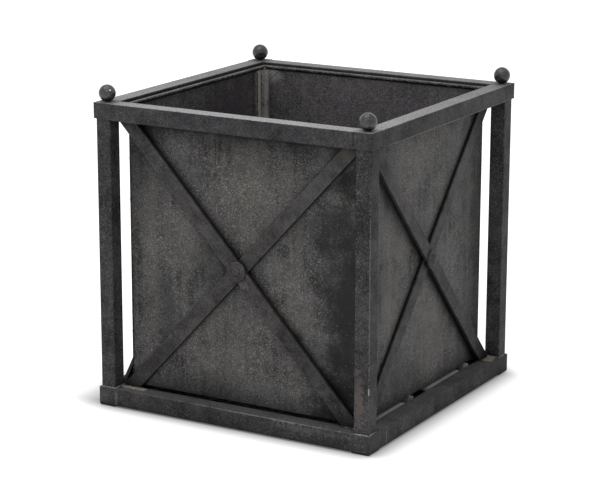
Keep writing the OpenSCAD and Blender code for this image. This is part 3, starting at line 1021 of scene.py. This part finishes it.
def make_sheet():
    """The front wall as a flat grid, with a vertex group that is zero along its edges."""
    start()
    bpy.ops.mesh.primitive_grid_add(
        x_subdivisions=SHEET_CELLS, y_subdivisions=SHEET_CELLS, size=1, location=(0, sheet_y, sheet_z),
        rotation=(QUARTER, 0, 0))
    sheet = bpy.context.object
    sheet.scale = (sheet_w, sheet_h, 1)
    bpy.ops.object.transform_apply(location=True, rotation=True, scale=True)
    free = sheet.vertex_groups.new(name="free")
    for point in sheet.data.vertices:
        inward = min(sheet_w / 2 - abs(point.co.x), sheet_h / 2 - abs(point.co.z - sheet_z))
        free.add([point.index], min(1.0, max(0.0, inward) / HELD), "REPLACE")
    return sheet


def wave_and_thicken(sheet):
    """Push the middle in and out, then give the sheet its thickness."""
    dent(sheet, WAVE, WAVE_SIZE, "free")
    skin = sheet.modifiers.new("thickness", "SOLIDIFY")
    skin.thickness = wall_high.y - wall_low.y
    skin.offset = 0
    bpy.ops.object.modifier_apply(modifier=skin.name)


sheets = on_all_faces(make_sheet())
for side, sheet in zip(SIDES, sheets):
    wave_and_thicken(sheet)
    settle(sheet, "sheet_" + side, zinc, "liner")
    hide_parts("liner_wall_" + side)
print("sheets", [len(s.data.polygons) for s in sheets], "waves", WAVE * 1000, "mm")

# %% [markdown]
# ## Beads of weld
# Posts, caps, feet and rails are welded by hand, and the welder left the beads as they
# fell: ripples of uneven width. A bead could be a swept curve, but a curve is too even.
# Each bead here is drawn as the welder drew it: a disc that is extruded step by step,
# every step a little wider or narrower and a little off the line.

# %% Draw one bead
BEAD_SIDES = 8
BEAD_TIP = 0.4
BEAD_NARROW = 0.7


def draw_bead(begin, end, radius, step, wobble, dice):
    """A rippled bead from begin to end; dice is a seeded random generator."""
    begin = Vector(begin)
    path = Vector(end) - begin
    count = max(2, round(path.length / step))
    turned = path.to_track_quat("Z", "Y").to_euler()
    start()
    bpy.ops.mesh.primitive_circle_add(vertices=BEAD_SIDES, radius=radius * BEAD_TIP, fill_type="NGON",
                                      location=begin, rotation=turned)
    bead = bpy.context.object
    edit()
    centre = begin.copy()
    size = BEAD_TIP
    for number in range(count):
        last = number == count - 1
        aim = begin + path * (number + 1) / count
        if not last:
            aim += Vector([dice.uniform(-wobble, wobble) for axis in range(3)])
        draw_out(aim - centre)
        wanted = BEAD_TIP if last else dice.uniform(BEAD_NARROW, 1.0)
        widen(wanted / size, aim)
        centre, size = aim, wanted
    clean_up()
    return bead


print("a bead has", BEAD_SIDES, "sides and narrows to", BEAD_NARROW, "between its ripples")

# %% [markdown]
# ## Lumps on the bottom rails
# Where the bars end on a bottom rail, the weld lies as a flat pale lump, larger at some
# ends than at others. A block would have sharp edges. A bead that is pressed flat keeps
# its ripples. Each lump is given as its distance from the middle, radius and length.

# %% Lumps of weld
LUMP_SEED = 40
LUMP_STEP = 0.0045
LUMP_WOBBLE = 0.2
LUMP_FLAT = 0.3
BAY_END = INNER - 0.001
WIDE, SMALL = (0.281, 0.0078, 0.062), (0.274, 0.0036, 0.034)
LUMPS = {"front": (WIDE, SMALL), "right": (SMALL, (0.288, 0.0125, 0.036)),
         "back": (WIDE, SMALL), "left": (SMALL, WIDE)}


def rail_lumps(side):
    """The weld at both ends of one bottom rail's top, drawn at the front, flattened and turned."""
    dice = random.Random(LUMP_SEED + side)
    beads = []
    for x_side, (depth, radius, length) in zip((-1, 1), LUMPS[SIDES[side]]):
        begin = (x_side * BAY_END, -depth, BAY_LOW)
        end = (x_side * (BAY_END - length), -depth, BAY_LOW)
        beads.append(draw_bead(begin, end, radius, LUMP_STEP, radius * LUMP_WOBBLE, dice))
    lumps = join(beads)
    lumps.data.transform(Matrix.Translation((0, 0, BAY_LOW)) @ Matrix.Diagonal((1, 1, LUMP_FLAT, 1))
                         @ Matrix.Translation((0, 0, -BAY_LOW)))
    return turn_to(lumps, side)


for side, name in enumerate(SIDES):
    settle(rail_lumps(side), "rail_welds_" + name, weld, "frame", smooth=60)
print("lumps", 2 * len(SIDES))

# %% [markdown]
# ## Rings and seams
# A post is welded all round to its cap and its foot, and a bottom rail meets its feet in
# two thin upright seams. A texture could fake such lines, but they catch the light. So
# four beads close each ring, and each seam is one straight bead.

# %% Rings round the posts
RING_SEED = 7
RING_R = 0.0017
RING_STEP = 0.0036
RING_WOBBLE = 0.0004
RINGS = {"under_cap": (cap_low.z, ring_weld), "over_foot": (foot_high.z, foot_weld)}


def ring_beads(x, y, z, dice):
    """Four beads that close round a post."""
    turns = list(CORNERS.values())
    points = [(x + sx * POST_HALF, y + sy * POST_HALF, z) for sx, sy in turns + turns[:1]]
    return [draw_bead(begin, end, RING_R, RING_STEP, RING_WOBBLE, dice)
            for begin, end in zip(points, points[1:])]


for name, (z, finish) in RINGS.items():
    dice = random.Random(RING_SEED)
    beads = []
    for sx, sy in CORNERS.values():
        beads += ring_beads(sx * CORNER, sy * CORNER, z, dice)
    settle(join(beads), "ring_welds_" + name, finish, "frame", smooth=60)
print("rings", 2 * len(CORNERS))

# %% Seams beside the feet
low_rail_low, low_rail_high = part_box("bottom_rail_front")
SEAM_SEED = 60
SEAM_R = 0.0009
SEAM_Y = low_rail_low.y + 0.0005
SEAM_X = foot_low.x
SEAM_LOW = low_rail_low.z + 0.004
SEAM_HIGH = low_rail_high.z - 0.003


def foot_seams(side):
    """Two upright beads, where one face's bottom rail meets its feet."""
    dice = random.Random(SEAM_SEED + side)
    beads = [draw_bead((x, SEAM_Y, SEAM_LOW), (x, SEAM_Y, SEAM_HIGH), SEAM_R, RING_STEP, 0.0, dice)
             for x in (-SEAM_X, SEAM_X)]
    return turn_to(join(beads), side)


settle(join([foot_seams(side) for side in range(len(SIDES))]), "foot_seams", ring_weld, "frame",
       smooth=60)
print("seams", 2 * len(SIDES))

# %% [markdown]
# ## Solder in the liner
# Zinc is soldered, not welded. Solder runs down the free edge of a corner's lap and both
# edges of the facet, over the mitre of the rim, and fills the small hole that the square
# rim leaves over the facet. Beads again look truer than a clean fillet.

# %% Solder in the liner's corners
SOLDER_SEED = 90
SOLDER_R = 0.0016
SOLDER_STEP = 0.005
SOLDER_WOBBLE = 0.0007
WALL_IN = -wall_high.y
WALL_END = wall_high.x
BESIDE_WALL = WALL_IN - 0.001
LAP_EDGE = WALL_END - 0.0165
SOLDER_LOW = wall_low.z + 0.012
SOLDER_HIGH = rim_low.z - 0.002
RIM_LINE = -(rim_low.y + rim_high.y) / 2
MITRE_IN, MITRE_OUT = RIM_LINE - 0.0035, RIM_LINE + 0.0028
MITRE_Z = rim_high.z - 0.0036
FILL_R = 0.0036
FILL_STEP = 0.0025
FILL_NEAR, FILL_FAR = WALL_END + 0.0055, WALL_IN - 0.00275
FILL_Z = rim_low.z + 0.0015


def corner_solder(turns):
    """One corner's solder: three upright runs, one over the rim's mitre, one in the hole."""
    dice = random.Random(SOLDER_SEED + turns)
    upright = [(BESIDE_WALL, -LAP_EDGE), (BESIDE_WALL, -WALL_END), (WALL_END, -BESIDE_WALL)]
    runs = [((x, y, SOLDER_LOW), (x, y, SOLDER_HIGH)) for x, y in upright]
    runs.append(((MITRE_IN, -MITRE_IN, MITRE_Z), (MITRE_OUT, -MITRE_OUT, MITRE_Z)))
    beads = [draw_bead(a, b, SOLDER_R, SOLDER_STEP, SOLDER_WOBBLE, dice) for a, b in runs]
    beads.append(draw_bead((FILL_FAR, -FILL_NEAR, FILL_Z), (FILL_NEAR, -FILL_FAR, FILL_Z),
                           FILL_R, FILL_STEP, 0.0, dice))
    return turn_to(join(beads), turns)


for turns, name in enumerate(("front_right", "back_right", "back_left", "front_left")):
    settle(corner_solder(turns), "solder_" + name, solder, "liner", smooth=60)
print("solder runs from", round(SOLDER_LOW, 3), "to", round(SOLDER_HIGH, 3))
